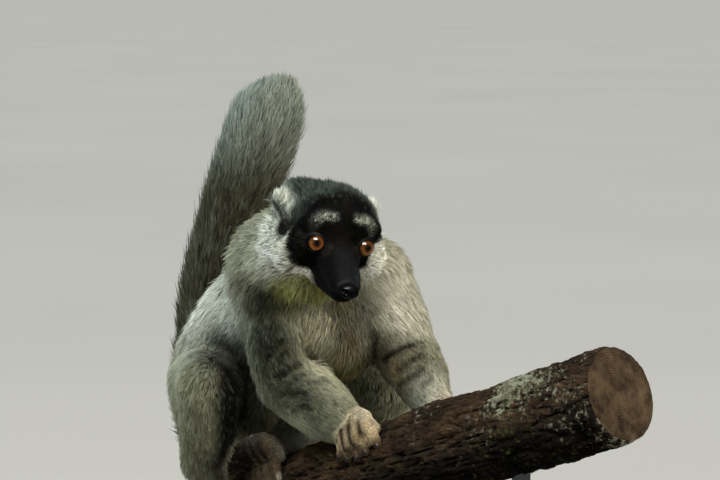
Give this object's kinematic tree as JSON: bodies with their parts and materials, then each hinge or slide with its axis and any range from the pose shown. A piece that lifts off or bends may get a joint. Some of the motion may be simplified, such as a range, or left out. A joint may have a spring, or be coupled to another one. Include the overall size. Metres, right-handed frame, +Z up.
{
  "type": "common brown lemur museum model",
  "caption": "Life-size still model of a common brown lemur crouched on a cut branch, tail raised, held by a plain display stand.",
  "frame": {"origin": "middle of the underside of the stand's base, at floor level", "axes": "+Z up; the animal and its branch point along -Y, and the animal's right side is -X"},
  "size_m": [0.3, 0.5694, 0.5275],
  "materials": {
    "coat": "woolly olive-grey fur",
    "coat_dark": "dark slate-grey fur",
    "coat_pale": "pale grey fur of the ears and cheeks",
    "coat_paw": "short tan fur over dark skin",
    "skin": "black bare skin of the face and ears",
    "eye": "wet glossy, orange-brown iris",
    "nose": "moist black skin, fine grained",
    "nail": "dark horn",
    "bark": "weathered cracked bark with lichen and moss",
    "stand_base": "black lacquer, satin",
    "stand_rod": "brushed"
  },
  "bodies": {
    "root": {"head": "coat_dark", "ear_right": "coat_pale", "ear_left": "coat_pale", "eye_right": "eye", "eye_left": "eye", "nose": "nose", "neck": "coat", "chest": "coat", "loin": "coat", "rump": "coat", "tail_1": "coat_dark", "tail_2": "coat_dark", "tail_3": "coat_dark", "tail_4": "coat_dark", "upper_arm_right": "coat", "upper_arm_left": "coat", "forearm_right": "coat", "forearm_left": "coat", "hand_right": "coat_paw", "hand_left": "coat_paw", "thigh_right": "coat", "thigh_left": "coat", "shin_right": "coat", "shin_left": "coat", "foot_right": "coat_paw", "foot_left": "coat_paw", "perch_branch": "bark", "stand_base": "stand_base", "stand_rod_front": "stand_rod", "stand_rod_back": "stand_rod"}
  },
  "joints": []
}
